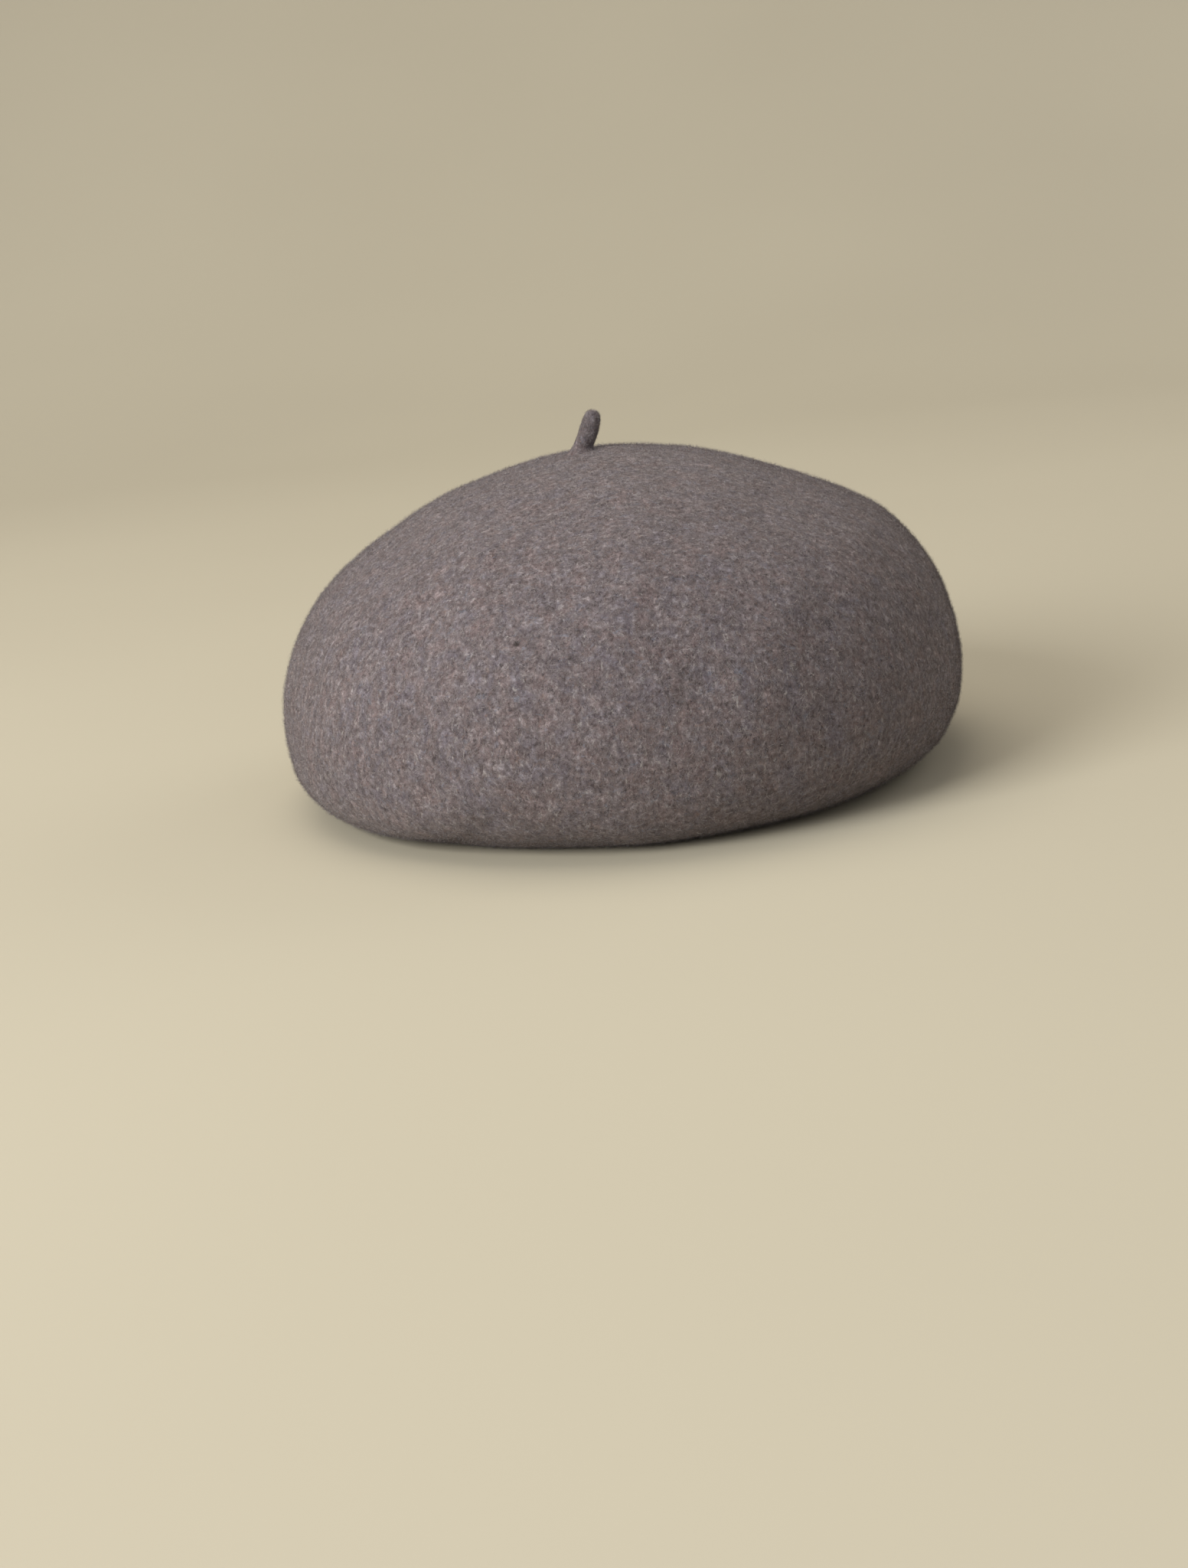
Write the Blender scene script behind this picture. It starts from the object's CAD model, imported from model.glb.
"""Looks of the beret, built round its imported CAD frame. Metres, +Z up, -Y the front of the hat."""

import math

import bpy
import numpy as np
from mathutils import Matrix, Vector


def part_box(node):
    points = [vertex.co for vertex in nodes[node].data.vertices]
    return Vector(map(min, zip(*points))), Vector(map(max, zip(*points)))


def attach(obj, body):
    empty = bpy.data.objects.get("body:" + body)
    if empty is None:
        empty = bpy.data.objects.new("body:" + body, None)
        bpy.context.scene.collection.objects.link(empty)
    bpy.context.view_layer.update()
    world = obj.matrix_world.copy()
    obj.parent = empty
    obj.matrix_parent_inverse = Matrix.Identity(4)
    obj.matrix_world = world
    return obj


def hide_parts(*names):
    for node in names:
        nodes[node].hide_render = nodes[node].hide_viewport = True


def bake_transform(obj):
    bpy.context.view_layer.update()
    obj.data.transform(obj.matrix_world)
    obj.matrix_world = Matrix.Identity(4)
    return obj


bpy.ops.wm.read_factory_settings(use_empty=True)
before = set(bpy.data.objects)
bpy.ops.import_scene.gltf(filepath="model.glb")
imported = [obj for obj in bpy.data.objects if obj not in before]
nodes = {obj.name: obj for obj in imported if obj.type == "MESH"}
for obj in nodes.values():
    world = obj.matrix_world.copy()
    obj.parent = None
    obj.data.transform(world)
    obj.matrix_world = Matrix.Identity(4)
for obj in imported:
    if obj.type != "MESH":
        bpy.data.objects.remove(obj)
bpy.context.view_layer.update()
MM = 0.001
rng = np.random.default_rng(20)

# ------------------------------------------------------------------ camera, first
D, ELEV, ROLL = 1.0, math.radians(10.0), math.radians(5.53)
TARGET = np.array([0, 0, 0.072])
PX, PY, FPX = 803.8, 778.0, 1000 / 0.3075
right = np.array([1.0, 0, 0])
fwd = np.array([0, math.cos(ELEV), -math.sin(ELEV)])
up = np.cross(right, fwd)
place = TARGET - D * fwd
rows = np.array([
    math.cos(ROLL) * right - math.sin(ROLL) * up,
    math.sin(ROLL) * right + math.cos(ROLL) * up,
    fwd,
])
n = np.array([PX - 776.0, 1024.0 - PY, FPX])
n /= np.linalg.norm(n)
v = np.cross([0, 0, 1.0], n)
K = np.array([[0, -v[2], v[1]], [v[2], 0, -v[0]], [-v[1], v[0], 0]])
rows = (np.eye(3) + K + K @ K / (1 + n[2])) @ rows
cam_data = bpy.data.cameras.new("camera")
cam = bpy.data.objects.new("camera", cam_data)
bpy.context.scene.collection.objects.link(cam)
m = np.eye(4)
m[:3, 0], m[:3, 1], m[:3, 2], m[:3, 3] = rows[0], rows[1], -rows[2], place
cam.matrix_world = Matrix(m.tolist())
cam_data.sensor_width = 36
cam_data.lens = FPX / 2048 * 36
cam_data.clip_start, cam_data.clip_end = 0.05, 30
bpy.context.scene.camera = cam


# ------------------------------------------------------------------ helpers
def spline(points, count, ends=((1, 0), (-1, 0))):
    """Clamped cubic spline through the points, by chord length."""
    p = np.array(points, float)
    s = np.r_[0, np.cumsum(np.hypot(*np.diff(p, axis=0).T))]
    h = np.diff(s)
    k = len(p)
    a = np.zeros((k, k))
    b = np.zeros((k, 2))
    a[0, 0] = a[-1, -1] = 1
    b[0], b[-1] = ends[0], ends[1]
    for i in range(1, k - 1):
        a[i, i - 1], a[i, i], a[i, i + 1] = h[i], 2 * (h[i - 1] + h[i]), h[i - 1]
        b[i] = 3 * (h[i] * (p[i] - p[i - 1]) / h[i - 1] + h[i - 1] * (p[i + 1] - p[i]) / h[i])
    d = np.linalg.solve(a, b)
    t = np.linspace(0, s[-1], count)
    i = np.clip(np.searchsorted(s, t, side="right") - 1, 0, k - 2)
    u = ((t - s[i]) / h[i])[:, None]
    hh = h[i][:, None]
    return (
        (2 * u**3 - 3 * u**2 + 1) * p[i] + (u**3 - 2 * u**2 + u) * hh * d[i]
        + (-2 * u**3 + 3 * u**2) * p[i + 1] + (u**3 - u**2) * hh * d[i + 1]
    )


def waves(points, lengths, count, seed, squash_z=1.0):
    """Smooth 3-D noise, about -1 to 1, from seeded plane waves. Points and wavelengths in mm."""
    r = np.random.default_rng(seed)
    total = np.zeros(len(points))
    for _ in range(count):
        d = r.normal(size=3)
        d[2] *= squash_z
        d /= np.linalg.norm(d)
        k = 2 * math.pi / r.uniform(*lengths)
        total += np.sin(points @ d * k + r.uniform(0, 2 * math.pi))
    return total / math.sqrt(count / 2) / 2


def smooth01(x, lo, hi):
    t = np.clip((x - lo) / (hi - lo), 0, 1)
    return t * t * (3 - 2 * t)


def mesh_object(name, verts_mm, faces, material=None, smooth=True):
    me = bpy.data.meshes.new(name)
    verts = (np.asarray(verts_mm) * MM).tolist()
    me.from_pydata(verts, [], faces)
    me.validate()
    me.update()
    if smooth:
        me.polygons.foreach_set("use_smooth", [True] * len(me.polygons))
    ob = bpy.data.objects.new(name, me)
    bpy.context.scene.collection.objects.link(ob)
    if material:
        me.materials.append(material)
    return ob


def grid_faces(rings, count, closed_ring=True, offset=0):
    out = []
    last = count if closed_ring else count - 1
    for i in range(rings - 1):
        a, b = offset + i * count, offset + (i + 1) * count
        for j in range(last):
            k = (j + 1) % count
            out.append((a + j, b + j, b + k, a + k))
    return out


LEAN, Z0, PLAN = 0.038, 43.0, 1.05


def blocked(r, z, phi):
    """Rings on the oval, leaning plan of the hat block: (rings, count, 3) in mm."""
    r, z = np.asarray(r)[:, None], np.asarray(z)[:, None]
    x = r * np.cos(phi) + LEAN * (z - Z0)
    y = PLAN * r * np.sin(phi)
    return np.stack([x, y, z + 0 * phi], -1)


# ------------------------------------------------------------------ node materials
class Nodes:
    def __init__(self, name):
        self.mat = bpy.data.materials.new(name)
        self.mat.use_nodes = True
        self.t = self.mat.node_tree
        self.bsdf = next(x for x in self.t.nodes if x.type == "BSDF_PRINCIPLED")
        self.coord = self.t.nodes.new("ShaderNodeTexCoord").outputs["Object"]

    def link(self, a, b):
        self.t.links.new(a, b)

    def stretch(self, scale, rot=(0, 0, 0)):
        x = self.t.nodes.new("ShaderNodeMapping")
        x.inputs["Scale"].default_value = scale
        x.inputs["Rotation"].default_value = rot
        self.link(self.coord, x.inputs["Vector"])
        return x.outputs[0]

    def noise(self, scale, detail=3, rough=0.55, distortion=0.0, vector=None):
        x = self.t.nodes.new("ShaderNodeTexNoise")
        x.inputs["Scale"].default_value = scale
        x.inputs["Detail"].default_value = detail
        x.inputs["Roughness"].default_value = rough
        x.inputs["Distortion"].default_value = distortion
        self.link(vector or self.coord, x.inputs["Vector"])
        return x.outputs["Fac"]

    def voronoi(self, scale, out="Distance", vector=None, feature="F1"):
        x = self.t.nodes.new("ShaderNodeTexVoronoi")
        x.feature = feature
        x.inputs["Scale"].default_value = scale
        self.link(vector or self.coord, x.inputs["Vector"])
        return x.outputs[out]

    def wave(self, scale, direction="Z", distortion=0.0, vector=None):
        x = self.t.nodes.new("ShaderNodeTexWave")
        x.bands_direction = direction
        x.inputs["Scale"].default_value = scale
        x.inputs["Distortion"].default_value = distortion
        self.link(vector or self.coord, x.inputs["Vector"])
        return x.outputs["Fac"]

    def ramp(self, fac, stops, interp="LINEAR"):
        x = self.t.nodes.new("ShaderNodeValToRGB")
        x.color_ramp.interpolation = interp
        el = x.color_ramp.elements
        while len(el) > 1:
            el.remove(el[-1])
        el[0].position, el[0].color = stops[0][0], (*stops[0][1], 1)
        for pos, col in stops[1:]:
            e = el.new(pos)
            e.color = (*col, 1)
        self.link(fac, x.inputs[0])
        return x.outputs[0]

    def band(self, fac, lo, hi):
        x = self.t.nodes.new("ShaderNodeMapRange")
        x.interpolation_type = "SMOOTHSTEP"
        x.inputs["From Min"].default_value = lo
        x.inputs["From Max"].default_value = hi
        self.link(fac, x.inputs["Value"])
        return x.outputs[0]

    def maths(self, op, a, b):
        x = self.t.nodes.new("ShaderNodeMath")
        x.operation = op
        for i, val in enumerate((a, b)):
            if isinstance(val, (int, float)):
                x.inputs[i].default_value = val
            else:
                self.link(val, x.inputs[i])
        return x.outputs[0]

    def mix(self, fac, a, b, blend="MIX"):
        x = self.t.nodes.new("ShaderNodeMix")
        x.data_type = "RGBA"
        x.blend_type = blend
        for sock, val in ((x.inputs[0], fac), (x.inputs[6], a), (x.inputs[7], b)):
            if isinstance(val, (int, float)):
                sock.default_value = val
            elif isinstance(val, tuple):
                sock.default_value = (*val, 1)
            else:
                self.link(val, sock)
        return x.outputs[2]

    def bump(self, height, distance, strength=1.0, normal=None):
        x = self.t.nodes.new("ShaderNodeBump")
        x.inputs["Strength"].default_value = strength
        x.inputs["Distance"].default_value = distance
        self.link(height, x.inputs["Height"])
        if normal:
            self.link(normal, x.inputs["Normal"])
        return x.outputs[0]

    def done(self, colour, rough, normal=None, sheen=0.0, sheen_rough=0.5, tint=(1, 1, 1), spec=0.3, aniso=0.0):
        b = self.bsdf.inputs
        self.link(colour, b["Base Color"])
        if isinstance(rough, float):
            b["Roughness"].default_value = rough
        else:
            self.link(rough, b["Roughness"])
        if normal:
            self.link(normal, b["Normal"])
        b["Specular IOR Level"].default_value = spec
        b["Sheen Weight"].default_value = sheen
        b["Sheen Roughness"].default_value = sheen_rough
        b["Sheen Tint"].default_value = (*tint, 1)
        b["Anisotropic"].default_value = aniso
        return self.mat


def felt_material(name, light=1.0):
    """Heathered wool: grey-mauve ground with dark brown, whitish, bluish and pinkish fibres."""
    f = Nodes(name)
    def c(r, g, b):
        return (r * light, g * light, b * light)
    ground = f.ramp(f.noise(480, 6, 0.66, 0.35), [
        (0.28, c(0.068, 0.054, 0.059)), (0.42, c(0.139, 0.116, 0.122)),
        (0.56, c(0.196, 0.171, 0.180)), (0.72, c(0.338, 0.311, 0.325))])
    clump = f.ramp(f.noise(250, 4, 0.6, 0.5), [(0.32, (0.76, 0.75, 0.76)), (0.5, (1.0, 1.0, 1.0)), (0.68, (1.22, 1.22, 1.23))])
    col = f.mix(0.85, ground, clump, "MULTIPLY")
    tint = f.ramp(f.noise(130, 3, 0.6, 0.6, f.stretch((1, 1, 0.7))), [
        (0.34, (0.91, 0.93, 1.07)), (0.50, (1.0, 0.98, 1.0)), (0.66, (1.09, 0.96, 0.95))])
    col = f.mix(0.75, col, tint, "MULTIPLY")
    # soft tufts of darker, paler, bluish and brownish wool
    dark = f.noise(560, 4, 0.62, 0.7, f.stretch((1, 1, 0.5), (0.35, 0.2, 0.4)))
    col = f.mix(f.maths("MULTIPLY", f.band(dark, 0.55, 0.72), 0.80), col, c(0.055, 0.044, 0.047))
    pale = f.noise(640, 4, 0.62, 0.8, f.stretch((0.9, 0.9, 0.45), (-0.5, -0.25, 1.1)))
    col = f.mix(f.maths("MULTIPLY", f.band(pale, 0.57, 0.74), 0.75), col, c(0.40, 0.375, 0.375))
    blue = f.noise(430, 4, 0.6, 0.8, f.stretch((0.6, 1, 1), (0.2, 0.9, 2.1)))
    col = f.mix(f.maths("MULTIPLY", f.band(blue, 0.57, 0.74), 0.6), col, c(0.19, 0.205, 0.26))
    rust = f.noise(400, 4, 0.6, 0.8, f.stretch((1, 0.6, 1), (1.2, 0.1, 0.6)))
    col = f.mix(f.maths("MULTIPLY", f.band(rust, 0.58, 0.75), 0.55), col, c(0.22, 0.150, 0.130))
    speck = f.noise(900, 2, 0.5, 0.4)
    col = f.mix(f.maths("MULTIPLY", f.band(speck, 0.64, 0.72), 0.75), col, c(0.050, 0.042, 0.050))
    # one dark burr caught in the wool, on the front
    spot = f.t.nodes.new("ShaderNodeVectorMath")
    spot.operation = "DISTANCE"
    f.link(f.coord, spot.inputs[0])
    spot.inputs[1].default_value = (-0.0363, -0.1217, 0.0797)
    col = f.mix(f.maths("MULTIPLY", f.band(spot.outputs["Value"], 0.0017, 0.0006), 0.85), col, c(0.030, 0.024, 0.024))
    fine = f.noise(1500, 3, 0.7, 0.8)
    soft = f.noise(420, 4, 0.6, 0.5)
    n1 = f.bump(soft, 0.0011, 0.62)
    n2 = f.bump(fine, 0.0004, 0.6, n1)
    return f.done(col, 0.92, n2, sheen=0.20, sheen_rough=0.45, tint=(0.97, 0.89, 0.82), spec=0.12)


def satin_material(name):
    f = Nodes(name)
    streak = f.noise(900, 2, 0.5, 0.0, f.stretch((1, 1, 0.06)))
    col = f.ramp(f.noise(30, 3), [(0.3, (0.060, 0.048, 0.046)), (0.7, (0.088, 0.070, 0.066))])
    col = f.mix(f.band(streak, 0.35, 0.65), col, f.mix(0.5, col, (0.12, 0.10, 0.095)))
    twill = f.wave(1300, "DIAGONAL")
    rough = f.ramp(streak, [(0.3, (0.30,) * 3), (0.7, (0.44,) * 3)])
    return f.done(col, rough, f.bump(twill, 0.00004, 0.25, f.bump(f.noise(120, 3), 0.0006, 0.5)), sheen=0.1, spec=0.55, aniso=0.5)


def ribbed_material(name, base=(0.030, 0.025, 0.026), ribs=95, edge=None):
    """Petersham or grosgrain: fine ribs square to the ribbon's length."""
    f = Nodes(name)
    sep = f.t.nodes.new("ShaderNodeSeparateXYZ")
    f.link(f.coord, sep.inputs[0])
    angle = f.maths("ARCTAN2", sep.outputs["Y"], sep.outputs["X"])
    rib = f.maths("SINE", f.maths("MULTIPLY", angle, float(ribs) * 6), 0.0)
    rib01 = f.maths("ADD", f.maths("MULTIPLY", rib, 0.5), 0.5)
    speck = f.noise(1600, 2)
    col = f.mix(rib01, tuple(x * 0.55 for x in base), tuple(x * 1.5 for x in base))
    col = f.mix(f.band(speck, 0.55, 0.75), col, tuple(x * 2.2 for x in base))
    return f.done(col, 0.62, f.bump(speck, 0.00008, 0.5, f.bump(rib01, 0.0004, 0.8)), sheen=0.15, spec=0.35)


def plain_ribbon(name, base):
    f = Nodes(name)
    rib = f.wave(420, "X")
    speck = f.noise(1700, 2)
    col = f.mix(rib, tuple(x * 0.6 for x in base), tuple(x * 1.4 for x in base))
    return f.done(col, 0.5, f.bump(speck, 0.00006, 0.5, f.bump(rib, 0.00025, 0.9)), sheen=0.2, spec=0.4)


def cloth_material(name, base, weave=1100, sheen=0.1):
    f = Nodes(name)
    w = f.maths("MULTIPLY", f.wave(weave, "X"), f.wave(weave, "Z"))
    col = f.mix(f.band(w, 0.0, 0.8), tuple(x * 0.78 for x in base), base)
    col = f.mix(f.maths("MULTIPLY", f.noise(60, 3), 0.35), col, tuple(x * 0.8 for x in base))
    return f.done(col, 0.8, f.bump(w, 0.00012, 0.7), sheen=sheen, spec=0.25)


def thread_material(name, base):
    f = Nodes(name)
    twist = f.wave(1400, "DIAGONAL")
    col = f.mix(twist, tuple(x * 0.6 for x in base), tuple(min(1, x * 1.3) for x in base))
    return f.done(col, 0.6, f.bump(twist, 0.0001, 0.8), sheen=0.2, spec=0.35)


felt = felt_material("wool_felt")
satin = satin_material("lining_satin")
petersham = ribbed_material("petersham")
ribbon = plain_ribbon("bow_ribbon", (0.030, 0.025, 0.026))
thread = thread_material("thread_brown", (0.060, 0.046, 0.042))
pale_thread = thread_material("thread_pale", (0.55, 0.50, 0.44))
label_cloth = cloth_material("label_cloth", (0.74, 0.71, 0.64))
woven = cloth_material("woven_label", (0.075, 0.062, 0.064), 900, 0.2)
elastic = cloth_material("elastic", (0.60, 0.57, 0.52), 500)

# ------------------------------------------------------------------ felt crown
FELT, LAND_OUT, LAND_IN, FOLD, COLLAR_R, COLLAR_TOP = 2.5, 104.0, 95.0, 4.0, 91.0, 13.0
PROFILE = [(0, 131.5), (28, 128.3), (56.3, 120.9), (80.5, 110.8), (104.9, 96.8), (122.8, 78), (131.8, 59.2),
           (135.2, 43), (134.4, 26.5), (128, 11.4), (117, 3), (104, 0)]
OUTER = spline(PROFILE, 176)
PHI = np.linspace(0, 2 * math.pi, 480, endpoint=False)


def arc(cx, cz, r, a0, a1, count):
    a = np.radians(np.linspace(a0, a1, count))
    return np.stack([cx + r * np.cos(a), cz + r * np.sin(a)], 1)


def inward(points, depth):
    """The outer profile moved in by a depth (number or array)."""
    t = np.gradient(points, axis=0)
    t /= np.linalg.norm(t, axis=1)[:, None]
    out = points + np.stack([t[:, 1], -t[:, 0]], 1) * np.asarray(depth).reshape(-1, 1)
    out[:, 0] = np.maximum(out[:, 0], 0)
    return out


INNER = inward(spline(PROFILE, 40), FELT)[::-1]
section = np.vstack([
    OUTER[1:],
    [[101, 0], [98, 0]],
    arc(LAND_IN, FOLD, FOLD, 270, 180, 7),
    [[COLLAR_R, 6], [COLLAR_R, 9]],
    arc(COLLAR_R + FELT / 2, COLLAR_TOP - FELT / 2, FELT / 2, 180, 0, 7),
    [[COLLAR_R + FELT, 8]],
    arc(LAND_IN, FOLD, FOLD - FELT, 180, 270, 5),
    [[99.5, FELT]],
    INNER[:-1],
])


# The blocked shape isn't perfectly even: hand-shaped swellings and sags seen from the front, as
# (angle round the crown's middle in degrees, mm outwards).
HAND = [(0, -0.3), (10, 0.15), (20, 0.95), (30, -0.5), (40, -1.3), (50, -0.88), (60, -0.76), (70, -0.78), (80, -0.22),
        (90, -0.2), (100, -0.4), (110, -0.02), (120, -0.01), (130, 0.05), (140, 0.13), (150, -0.88), (160, -1.34), (170, -0.78),
        (180, 0.27), (190, 0.67), (200, 2.1), (210, 1.2), (220, -3.0), (230, -2.9), (240, -3.2), (250, -2.7), (260, -1.5),
        (270, -0.19), (280, -0.13), (290, -0.4), (300, -0.42), (310, -0.4), (320, 0.05), (330, -0.24), (340, 0.38), (350, 0.65)]


def shape_crown(p, normal):
    """Moves crown points (mm) to the soft, hand-blocked shape."""
    keep = smooth01(p[:, 2], 1.5, 16)                       # the resting ring stays flat
    root = smooth01(np.hypot(p[:, 0] + 6, p[:, 1]), 6, 22)  # and so does the felt at the stalk's root
    move = 0.75 * waves(p, (42, 95), 26, 3) + 0.34 * waves(p, (14, 30), 34, 5) + 0.10 * waves(p, (5, 9), 40, 8)
    # a faint slanting fold on the front, left of the middle
    a, b = np.array([-82.0, 66.0]), np.array([-56.0, 78.0])
    d = b - a
    q = np.stack([p[:, 0], p[:, 2]], 1) - a
    t = np.clip(q @ d / (d @ d), -0.5, 1.5)
    dist = np.hypot(*(q - t[:, None] * d).T)
    fold = np.exp(-((dist / 5.5) ** 2)) * smooth01(t, -0.5, 0.2) * (1 - smooth01(t, 0.8, 1.5)) * (p[:, 1] < 0)
    move = move - 0.55 * fold
    if HAND:
        ang = np.degrees(np.arctan2(p[:, 2] - 60.0, p[:, 0])) % 360
        table = np.array(HAND, float)
        hand = np.interp(ang, table[:, 0], table[:, 1], period=360)
        low = smooth01(np.abs((ang - 270 + 180) % 360 - 180), 55, 75)      # below, only the front is lifted
        hand = hand * np.maximum(low, smooth01(-p[:, 1], -10, 60))
        radial = np.stack([np.cos(np.radians(ang)), 0 * ang, np.sin(np.radians(ang))], 1)
        side = smooth01(np.hypot(p[:, 0] / 136, (p[:, 2] - 60) / 72), 0.35, 0.95)
        plan = np.hypot(p[:, 0] - LEAN * (p[:, 2] - Z0), p[:, 1] / PLAN)
        free = np.maximum(smooth01(p[:, 2], 13.5, 22), smooth01(plan, 105, 118))   # the collar stays on the band
        p = p + radial * (hand * side * free)[:, None]
    return p + normal * (move * keep * root)[:, None]


def revolve(sec, phi, apex_start=None, apex_end=None, shape=None):
    rings = blocked(sec[:, 0], sec[:, 1], phi)
    du = np.gradient(rings, axis=0)
    dv = (np.roll(rings, -1, 1) - np.roll(rings, 1, 1)) / 2
    nr = np.cross(dv, du)
    nr /= np.maximum(np.linalg.norm(nr, axis=2), 1e-9)[..., None]
    return rings, nr


rings, nr = revolve(section, PHI)
# the outward direction of the outer skin is used for both skins, so that they move together
centre_dir = rings - np.array([0, 0, 40.0])
flip = (nr * centre_dir).sum(2).mean(1)
skin = centre_dir / np.linalg.norm(centre_dir, axis=2)[..., None]
count = len(PHI)
flat = rings.reshape(-1, 3)
shaped = shape_crown(flat, skin.reshape(-1, 3))
shaped[:, 2] = np.maximum(shaped[:, 2], 0.0)
top = shape_crown(np.array([[LEAN * (131.5 - Z0), 0, 131.5], [LEAN * (129 - Z0), 0, 129.0]]), np.array([[0, 0, 1.0]] * 2))
verts = np.vstack([shaped, top])
faces = grid_faces(len(section), count)
ti, bi = len(shaped), len(shaped) + 1
last = (len(section) - 1) * count
faces += [(ti, j, (j + 1) % count) for j in range(count)]
faces += [(bi, last + (j + 1) % count, last + j) for j in range(count)]
crown = mesh_object("beret_felt", verts, faces, felt)
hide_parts("felt_crown")
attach(crown, "hat")

# ------------------------------------------------------------------ stalk
PIVOT = np.array([-6.0, 0, 134.798])
STALK_LEAN = math.radians(23.6)
BENT = np.array([math.sin(STALK_LEAN), 0, math.cos(STALK_LEAN)])


def stalk_mesh():
    # (distance along the stalk from the pivot, radius): a little foot that spreads into the felt, then a soft taper
    prof = [(-5.4, 5.6), (-4.2, 4.7), (-3.4, 4.0), (-2.4, 3.6), (-1.0, 3.42), (1.0, 3.36), (3.0, 3.34), (5.0, 3.26), (7.0, 3.16),
            (8.6, 3.02), (10.0, 2.82), (11.0, 2.45), (11.8, 1.8), (12.3, 0.95)]
    s = np.array(prof)
    t = np.linspace(0, 1, len(s))
    fine = np.linspace(0, 1, 60)
    along, rad = np.interp(fine, t, s[:, 0]), np.interp(fine, t, s[:, 1])
    ph = np.linspace(0, 2 * math.pi, 72, endpoint=False)
    out = []
    for a, r in zip(along, rad):
        # the centre follows the slanting line; each ring lies flat at the foot, where it spreads, and squares up to the line above
        side = np.array([math.cos(STALK_LEAN), 0, -math.sin(STALK_LEAN)])
        base = PIVOT + BENT * a + side * 0.20 * math.sin(a * 0.42)
        lean = STALK_LEAN * float(smooth01(np.array(a), -4.6, -1.0))
        sx = np.array([math.cos(lean), 0, -math.sin(lean)])
        # rolled felt: a faint spiral crease and uneven roundness
        rr = r * (1 + 0.045 * np.sin(ph * 2 + a * 0.28) + 0.03 * np.sin(ph * 3 - a * 0.5 + 1))
        crease = np.exp(-(((np.angle(np.exp(1j * (ph - 4.3 - a * 0.16)))) / 0.22) ** 2))
        rr = 1.04 * rr - 0.18 * crease * smooth01(np.array(a), -3, 0) * (1 - smooth01(np.array(a), 9, 12))
        out.append(base + np.outer(np.cos(ph) * rr, sx) + np.outer(np.sin(ph) * rr, [0, 1, 0]))
    pts = np.array(out)
    flatp = pts.reshape(-1, 3)
    flatp = flatp + 0.10 * waves(flatp, (2.2, 5), 30, 11)[:, None] * (flatp - PIVOT) / np.linalg.norm(flatp - PIVOT, axis=1)[:, None]
    tip = PIVOT + BENT * 12.55
    vs = np.vstack([flatp, tip])
    fs = grid_faces(60, 72)
    fs = [tuple(reversed(f)) for f in fs]
    k = 59 * 72
    fs += [(k + j, k + (j + 1) % 72, len(flatp)) for j in range(72)]
    return vs, fs


sv, sf = stalk_mesh()
stalk = mesh_object("stalk_felt", sv, sf, felt)
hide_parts("stalk")
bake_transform(stalk)


# ------------------------------------------------------------------ loose wool fibres
def fibre_material(name):
    f = Nodes(name)
    a = f.t.nodes.new("ShaderNodeAttribute")
    a.attribute_name = "wool"
    return f.done(a.outputs["Color"], 0.8, None, sheen=0.0, spec=0.15)


wool_fibre = fibre_material("wool_fibre")
PALETTE = np.array([[0.165, 0.140, 0.143], [0.225, 0.198, 0.203], [0.33, 0.305, 0.312], [0.080, 0.064, 0.066],
                    [0.18, 0.195, 0.245], [0.25, 0.175, 0.155], [0.52, 0.49, 0.48]])
SHARE = np.array([0.31, 0.27, 0.17, 0.12, 0.05, 0.05, 0.03])


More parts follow.
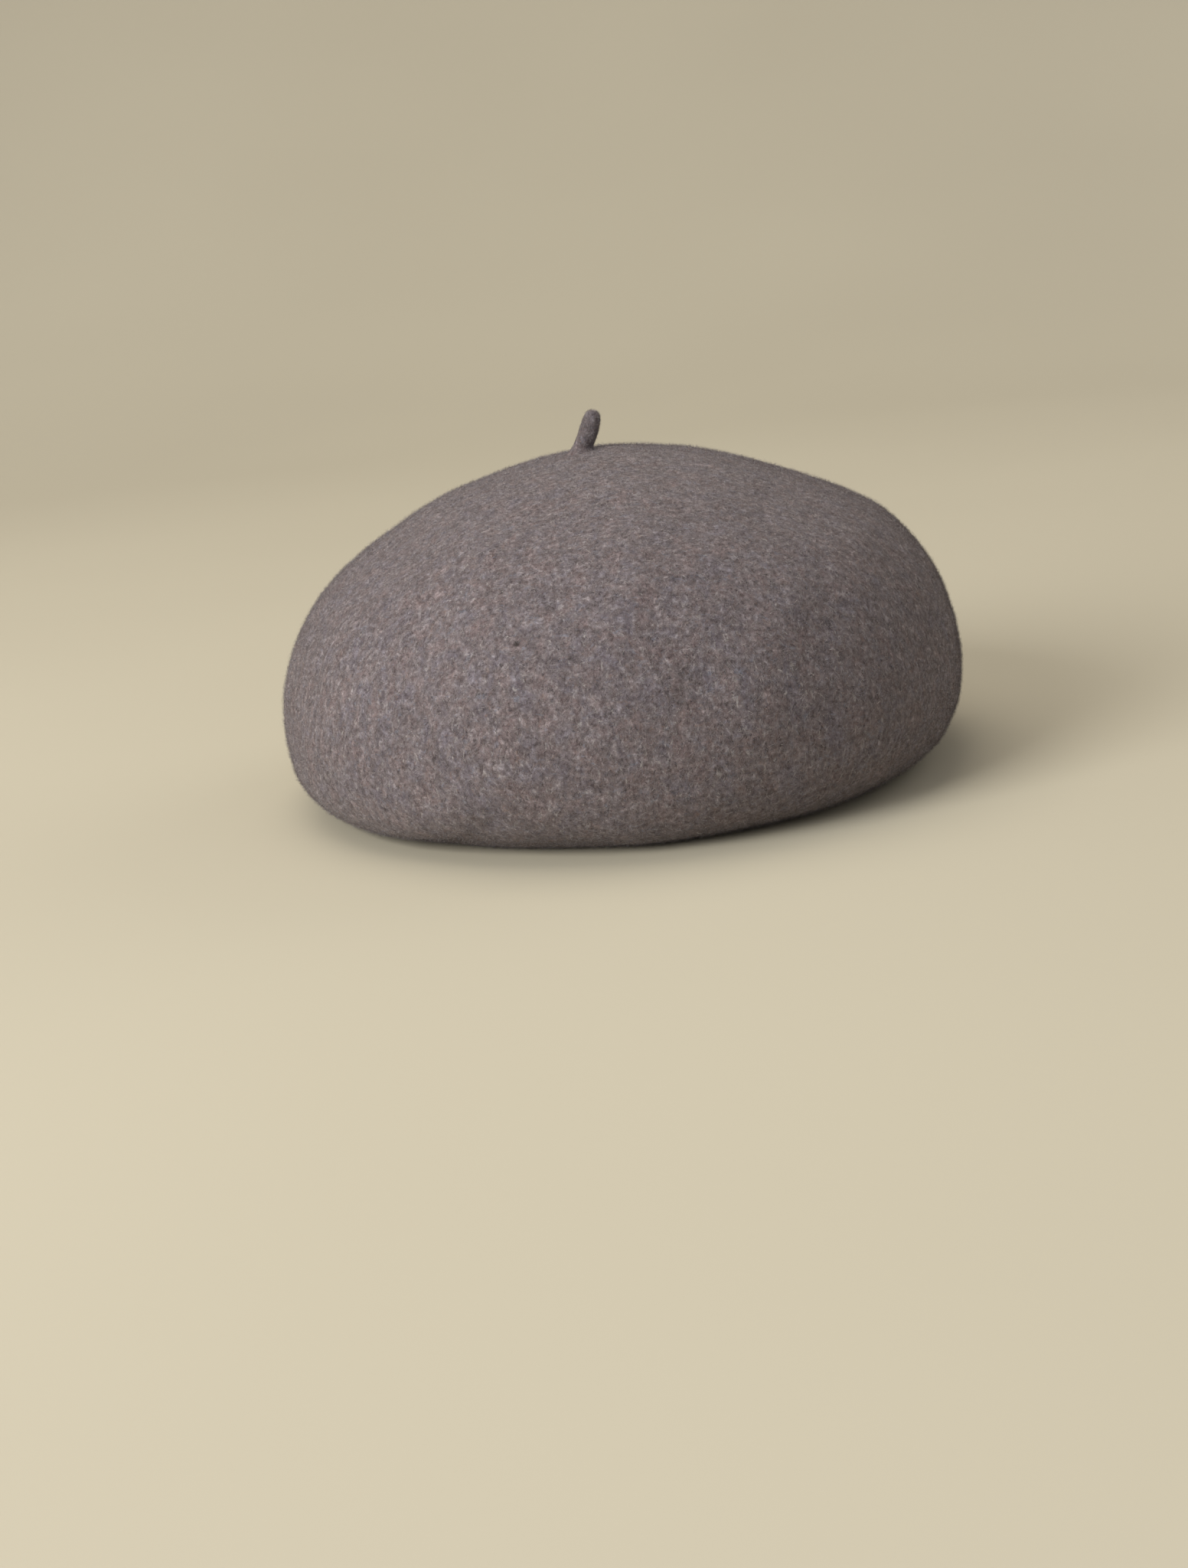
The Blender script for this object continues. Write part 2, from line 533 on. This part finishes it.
def fibres(name, verts, faces, count, length, rise, radius, body, seed, keep=None, points=4, middle=(0, 0, 55.0)):
    r = np.random.default_rng(seed)
    tri = np.array([t for f in faces for t in ((f[0], f[1], f[2]), (f[0], f[2], f[3])) if len(f) == 4])
    a, b, c = verts[tri[:, 0]], verts[tri[:, 1]], verts[tri[:, 2]]
    nn = np.cross(b - a, c - a)
    area = np.linalg.norm(nn, axis=1)
    if keep is not None:
        area = area * keep((a + b + c) / 3)
    pick = r.choice(len(tri), count, p=area / area.sum())
    u, w = r.random(count), r.random(count)
    swap = u + w > 1
    u[swap], w[swap] = 1 - u[swap], 1 - w[swap]
    p = a[pick] + (b - a)[pick] * u[:, None] + (c - a)[pick] * w[:, None]
    nrm = nn[pick] / np.linalg.norm(nn[pick], axis=1)[:, None]
    nrm = np.where(((p - middle) * nrm).sum(1)[:, None] < 0, -nrm, nrm)
    rnd = r.normal(size=(count, 3))
    tan = rnd - nrm * (rnd * nrm).sum(1)[:, None]
    tan /= np.linalg.norm(tan, axis=1)[:, None]
    side = np.cross(nrm, tan)
    ln = r.uniform(*length, count)[:, None]
    an = np.radians(r.uniform(*rise, count))[:, None]
    curl = r.normal(0, 0.45, count)[:, None]
    pts = []
    for i in range(points):
        t = i / (points - 1)
        bow = math.sin(math.pi * t)
        pts.append(p - nrm * 0.04 + ln * t * (tan * np.cos(an) + nrm * np.sin(an) * (1 - 0.45 * t)) + side * curl * ln * t * t * 0.6 + nrm * 0.05 * bow)
    pos = np.stack(pts, 1).reshape(-1, 3) * MM
    hc = bpy.data.hair_curves.new(name)
    hc.add_curves([points] * count)
    hc.attributes["position"].data.foreach_set("vector", pos.astype(np.float32).ravel())
    rad = np.linspace(1, 0.35, points)[None, :] * r.uniform(0.7, 1.25, count)[:, None] * radius * MM
    if "radius" not in hc.attributes:
        hc.attributes.new("radius", "FLOAT", "POINT")
    hc.attributes["radius"].data.foreach_set("value", rad.astype(np.float32).ravel())
    col = PALETTE[r.choice(len(PALETTE), count, p=SHARE)] * r.uniform(0.8, 1.2, (count, 1))
    at = hc.attributes.new("wool", "FLOAT_COLOR", "CURVE")
    at.data.foreach_set("color", np.concatenate([col, np.ones((count, 1))], 1).astype(np.float32).ravel())
    hc.materials.append(wool_fibre)
    ob = bpy.data.objects.new(name, hc)
    bpy.context.scene.collection.objects.link(ob)
    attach(ob, body)
    return ob


outer_faces = grid_faces(len(OUTER) + 8, count)
seen = lambda q: (q[:, 2] > 0.6) * 1.0
fibres("wool_lying", shaped, outer_faces, 150000, (1.0, 2.8), (2, 18), 0.034, "hat", 31, seen)
fibres("wool_standing", shaped, outer_faces, 160000, (0.7, 2.7), (25, 84), 0.033, "hat", 32, seen, 3)
fibres("wool_haze", shaped, outer_faces, 60000, (1.6, 3.8), (30, 85), 0.021, "hat", 36, seen, 3)
above = lambda q: (((q - PIVOT) @ BENT) > 0.3) * 1.0
below = lambda q: (((q - PIVOT) @ BENT) < 0.3) * (q[:, 2] > 130.9) * 1.0
MID = PIVOT + BENT * 4.0
FOOT = PIVOT - BENT * 2.5
stalk_faces = sf[:59 * 72]
fibres("stalk_wool_lying", sv, stalk_faces, 1700, (0.9, 2.2), (2, 14), 0.03, "stalk", 33, above, middle=MID)
fibres("stalk_wool_standing", sv, stalk_faces, 1100, (0.4, 1.3), (20, 75), 0.026, "stalk", 34, above, 3, middle=MID)
fibres("stalk_foot_wool", sv, stalk_faces, 900, (0.7, 1.8), (2, 30), 0.028, "hat", 35, below, middle=FOOT)

# ------------------------------------------------------------------ lining: satin tip and gathered side
LGAP, LDROP, LT = 0.6, 3.8, 0.5


def lining_depth(pts):
    fall = 0.5 * (1 + np.cos(math.pi * np.minimum(1.0, pts[:, 0] / 100.0))) * (pts[:, 1] > 43)
    return FELT + LGAP + LDROP * fall


def follow(points, inner, outer):
    """Moves lining points with the felt over them, fading out towards the middle of the tip."""
    p = points.reshape(-1, 3)
    out = p - np.array([0, 0, 40.0])
    out /= np.linalg.norm(out, axis=1)[:, None]
    plan = np.hypot(p[:, 0] - LEAN * (p[:, 2] - Z0), p[:, 1] / PLAN)
    share = smooth01(plan, inner, outer) if outer > inner else 1 + 0 * plan
    return (p + (shape_crown(p, out) - p) * share[:, None]).reshape(points.shape)


LIN = inward(OUTER, lining_depth(OUTER))
SEAM = 97.0
PH2 = np.linspace(0, 2 * math.pi, 720, endpoint=False)
upper = LIN[(LIN[:, 0] < SEAM) & (LIN[:, 1] > 60)]
tip_sec = np.vstack([upper[1::3], [[SEAM, np.interp(SEAM, upper[:, 0], upper[:, 1])]]])
tr = follow(blocked(tip_sec[:, 0], tip_sec[:, 1], PH2), 45, 72)
near = smooth01(tip_sec[:, 0], 60, SEAM)[:, None]
pucker = (0.22 * np.sin(PH2 * 72) + 0.18 * np.sin(PH2 * 41 + 1.3) + 0.15 * np.sin(PH2 * 97 + 2))[None, :] * near
tr[..., 2] -= 0.35 + pucker + 0.5 * near * 0.0
tv = tr.reshape(-1, 3)
tv[:, 2] -= 0.35 * (waves(tv, (18, 45), 24, 14) + 0.6) * (1 - smooth01(np.hypot(tv[:, 0] - 3, tv[:, 1]), 70, 95))
tf = grid_faces(len(tip_sec), 720)
tv = np.vstack([tv, [tv[:720].mean(0)]])
tf += [(len(tv) - 1, j, (j + 1) % 720) for j in range(720)]
lining_tip = mesh_object("lining_tip_satin", tv, tf, satin)
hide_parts("lining_tip")
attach(lining_tip, "hat")

side = LIN[(LIN[:, 0] >= SEAM) | (LIN[:, 1] < 60)]
side_sec = np.vstack([[[SEAM, np.interp(SEAM, upper[:, 0], upper[:, 1])]], side[::2], [[101, 3.4], [98, 3.2], [95.9, 3.4], [94.8, 4.4], [94.3, 6.5], [94.2, 8.5], [94.15, 10.4]]])
sr = follow(blocked(side_sec[:, 0], side_sec[:, 1], PH2), 0, 0)
arcl = np.r_[0, np.cumsum(np.hypot(*np.diff(side_sec, axis=0).T))]
total = arcl[-1]
amp = (smooth01(arcl, 0, 22) * (1 - smooth01(arcl, total - 42, total - 12)) * 1.05 + 0.25 * (1 - smooth01(arcl, total - 14, total - 3)))[:, None]
drift = 0.35 * np.sin(arcl / 17.0)[:, None]
g = np.abs(np.sin(PH2[None, :] * 30 + drift + 0.7 * np.sin(PH2[None, :] * 7 + 1))) * 0.6 + 0.4 * np.abs(np.sin(PH2[None, :] * 47 - drift + 0.8 * np.sin(PH2[None, :] * 5)))
mid = np.array([0, 0, 62.0])
into = mid - sr
into /= np.linalg.norm(into, axis=2)[..., None]
sr = sr + into * (0.15 + amp * g)[..., None]
side_ob = mesh_object("lining_side_satin", sr.reshape(-1, 3), grid_faces(len(side_sec), 720), satin)
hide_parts("lining_side")
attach(side_ob, "hat")

# piping cord and stitches along the lining's seam are the seam's own roll of cloth
seam_z = np.interp(SEAM, upper[:, 0], upper[:, 1])
sa = np.radians(np.linspace(0, 360, 9)[:-1])
ring = []
for c_, s_ in zip(np.cos(sa), np.sin(sa)):
    ring.append((SEAM + 0.55 * c_, seam_z - 0.9 + 0.55 * s_))
ring = np.array(ring)
pr = follow(blocked(ring[:, 0], ring[:, 1], PH2), 0, 0) + np.array([0, 0, 1]) * (0.12 * np.sin(PH2 * 180))[None, :, None]
pf = grid_faces(8, 720) + [(7 * 720 + j, j, (j + 1) % 720, 7 * 720 + (j + 1) % 720) for j in range(720)]
piping = mesh_object("lining_seam_roll", pr.reshape(-1, 3), pf, satin)
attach(piping, "hat")

# ------------------------------------------------------------------ sweatband: petersham with ribs and a selvedge
BI, BT, BB, BTOP = 89.3, 0.9, 1.6, 29.6
zs = np.r_[np.linspace(BB + 0.35, BTOP - 0.35, 22)]
sec = [(BI, z) for z in zs] + [(BI + 0.18, BTOP - 0.08), (BI + BT / 2, BTOP), (BI + BT - 0.18, BTOP - 0.08)]
sec += [(BI + BT, z) for z in zs[::-1]] + [(BI + BT - 0.18, BB + 0.08), (BI + BT / 2, BB), (BI + 0.18, BB + 0.08)]
sec = np.array(sec)
PH3 = np.linspace(0, 2 * math.pi, 1140, endpoint=False)
br = blocked(sec[:, 0], sec[:, 1], PH3)
ribs = 0.06 * np.sin(PH3 * 570 / 2)
wav = 0.0
edge_scallop = 0.10 * np.sin(PH3 * 190)[None, :]
free = smooth01(sec[:, 1], 16, 29.6)[:, None]
outd = np.stack([np.cos(PH3), np.sin(PH3) / PLAN, 0 * PH3], -1)
br = br + outd[None] * ((ribs[None, :] * 0.5 - free * 0.28 * (1 + np.sin(PH3 * 3 + 0.6) * 0.5 + 0.4 * np.sin(PH3 * 8))[None, :] * 0.6))[..., None]
br[..., 2] += edge_scallop * (smooth01(sec[:, 1], 28, 29.6)[:, None] - (1 - smooth01(sec[:, 1], 1.6, 3))[:, None])
bf = grid_faces(len(sec), 1140) + [((len(sec) - 1) * 1140 + j, j, (j + 1) % 1140, (len(sec) - 1) * 1140 + (j + 1) % 1140) for j in range(1140)]
band = mesh_object("sweatband_petersham", br.reshape(-1, 3), bf, petersham)
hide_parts("sweatband")
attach(band, "hat")

# ------------------------------------------------------------------ bow: flat looped ribbon round a knot
bow_lo, bow_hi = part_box("back_bow")
bx, by = (bow_lo[0] + bow_hi[0]) / 2 / MM, (bow_lo[1] + bow_hi[1]) / 2 / MM


def ribbon_strip(path, z0, z1, thick, name, mat, body, dome=0.0, rows_z=9):
    """A ribbon standing on edge along a path in the XY plane; z0, z1 may vary along it."""
    path = np.array(path, float)
    t = np.gradient(path, axis=0)
    t /= np.linalg.norm(t, axis=1)[:, None]
    nn = np.stack([t[:, 1], -t[:, 0]], 1)
    k = len(path)
    z0 = np.broadcast_to(z0, k)
    z1 = np.broadcast_to(z1, k)
    vs = []
    for sgn in (1, -1):
        for j in range(rows_z):
            f = j / (rows_z - 1) if sgn > 0 else 1 - j / (rows_z - 1)
            crown_ = dome * math.sin(math.pi * f)
            xy = path + nn * (thick / 2 * sgn + crown_)
            vs.append(np.column_stack([xy, z0 + (z1 - z0) * f]))
    vs = np.array(vs)
    fs = grid_faces(2 * rows_z, k, closed_ring=False)
    fs += [((2 * rows_z - 1) * k + j, j, j + 1, (2 * rows_z - 1) * k + j + 1) for j in range(k - 1)]
    fs += [tuple(range(0, 2 * rows_z * k, k)), tuple(reversed(range(k - 1, 2 * rows_z * k, k)))]
    ob = mesh_object(name, vs.reshape(-1, 3), fs, mat)
    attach(ob, body)
    return ob


loops = []
for sgn in (-1, 1):
    t = np.linspace(0, 1, 60)
    ang = 2 * math.pi * t - math.pi
    w = 5.6
    xs = bx + sgn * (1.2 + w * (1 + np.cos(ang)) * 0.93)
    ys = by + 0.88 * np.sin(ang) * (0.35 + 0.65 * np.sin(np.pi * t) ** 0.5)
    d = np.abs(xs - bx)
    half = 2.4 + 1.55 * smooth01(d, 1.5, 7)
    loops.append(ribbon_strip(np.column_stack([xs, ys]), 16 - half, 16 + half, 0.3, f"bow_loop_{'lr'[sgn > 0]}", ribbon, "hat"))
for ob in loops:
    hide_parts("back_bow")
ka = np.linspace(0, 2 * math.pi, 41)
kx = bx + 2.2 * np.sign(np.cos(ka)) * np.abs(np.cos(ka)) ** 0.7
ky = by + 1.15 * np.sign(np.sin(ka)) * np.abs(np.sin(ka)) ** 0.8
knot = ribbon_strip(np.column_stack([kx, ky]), 12.0, 20.0, 0.35, "bow_knot_ribbon", ribbon, "hat", dome=0.12)
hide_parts("bow_knot")


# ------------------------------------------------------------------ labels
def frame_of(name):
    lo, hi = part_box(name)
    return np.array(lo) / MM, np.array(hi) / MM


HINGE = np.array([37.825, 83.074, 24.426])
AXIS = np.array([-0.89007, 0.45582, 0.0])
IN = np.array([-0.45575, -0.88994, 0.01732])
UP = np.cross(IN, AXIS) if np.cross(IN, AXIS)[2] > 0 else -np.cross(IN, AXIS)


def label(name, y0, y1, x_half, thick, curl, material, nx=49, ny=33):
    """A soft woven label: x along the hinge axis, y down from the hinge, both in mm."""
    vs = []
    for sgn in (1, -1):
        for j in range(ny):
            f = j / (ny - 1)
            y = y0 + (y1 - y0) * f
            for i in range(nx):
                g_ = (i / (nx - 1) if sgn > 0 else 1 - i / (nx - 1)) * 2 - 1
                x = g_ * x_half * (1 - 0.0 * f)
                bend = curl * (0.5 * (f ** 2) + 0.35 * (g_ ** 2) * f + 0.08 * math.sin(g_ * 7 + f * 3))
                edge = 0.10 * (abs(g_) > 0.93)
                vs.append(HINGE + AXIS * x - UP * y + IN * (bend + sgn * (thick / 2 - edge)))
    fs = []
    for j in range(ny - 1):
        for i in range(2 * nx - 1):
            def idx(jj, ii):
                return (jj * nx + ii) if ii < nx else (ny * nx + jj * nx + ii - nx)
            fs.append((idx(j, i), idx(j + 1, i), idx(j + 1, i + 1), idx(j, i + 1)))
        fs.append((idx(j, 2 * nx - 1), idx(j + 1, 2 * nx - 1), idx(j + 1, 0), idx(j, 0)))
    fs.append(tuple([i for i in range(nx)] + [ny * nx + i for i in range(nx)]))
    fs.append(tuple(reversed([(ny - 1) * nx + i for i in range(nx)] + [ny * nx + (ny - 1) * nx + i for i in range(nx)])))
    return mesh_object(name, np.array(vs), fs, material)


flap = label("care_label_cloth", -2.6, 15.8, 12.0, 0.36, 0.55, label_cloth)
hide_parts("care_label", "care_label_strip")
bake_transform(flap)


# ------------------------------------------------------------------ carried-over CAD nodes
def paint(name, mat):
    ob = nodes[name]
    ob.data.materials.clear()
    ob.data.materials.append(mat)


for name, mat in {
    "stalk_root": felt, "stalk_anchor_patch": felt, "stalk_anchor_stitches": thread,
    "lining_edge_stitches": thread, "sweatband_stitches": thread, "size_elastic": elastic,
    "elastic_tacks": thread, "bow_tack": thread, "care_label_stitches": pale_thread,
    "maker_label": woven, "maker_label_stitches": pale_thread,
}.items():
    paint(name, mat)

# ------------------------------------------------------------------ floor, backdrop and lights
fm = Nodes("studio_floor")
fcol = fm.ramp(fm.noise(1.5, 2), [(0.3, (0.520, 0.480, 0.385)), (0.7, (0.545, 0.505, 0.405))])
floor_mat = fm.done(fcol, 0.95, None, spec=0.1)
sweep = [(-3.0, 0.0), (1.2, 0.0)]
sweep += [(1.2 + 1.6 * math.sin(a), 1.6 - 1.6 * math.cos(a)) for a in np.linspace(0.05, math.pi / 2, 24)]
sweep += [(2.8, 4.5)]
fv = [(x * 1000, y * 1000, z * 1000) for y, z in sweep for x in (-5, 5)]
ff = [(2 * i, 2 * i + 1, 2 * i + 3, 2 * i + 2) for i in range(len(sweep) - 1)]
floor = mesh_object("studio_floor", fv, ff, floor_mat)


def area_light(name, loc, aim, size, power, colour=(1, 1, 1)):
    ld = bpy.data.lights.new(name, "AREA")
    ld.shape = "RECTANGLE"
    ld.size, ld.size_y = size
    ld.energy = power
    ld.color = colour
    ob = bpy.data.objects.new(name, ld)
    ob.location = loc
    ob.rotation_mode = "QUATERNION"
    ob.rotation_quaternion = (Vector(aim) - Vector(loc)).to_track_quat("-Z", "Y")
    bpy.context.scene.collection.objects.link(ob)
    return ob


area_light("key", (-1.7, -1.5, 1.15), (0, 0, 0.07), (1.3, 1.3), 62, (1.0, 0.99, 0.95))
area_light("top", (-0.5, 0.4, 2.2), (0, 0.2, 0), (2.0, 2.0), 23, (1.0, 0.91, 0.77))
area_light("fill", (2.3, 1.3, 1.3), (0, 0, 0.06), (2.0, 2.0), 15, (1.0, 0.97, 0.93))
world = bpy.data.worlds.new("world")
bpy.context.scene.world = world
world.use_nodes = True
bg = world.node_tree.nodes["Background"]
bg.inputs[0].default_value = (1.0, 0.985, 0.96, 1)
bg.inputs[1].default_value = 0.36
bpy.context.scene.view_settings.view_transform = "Standard"
bpy.context.scene.view_settings.look = "None"
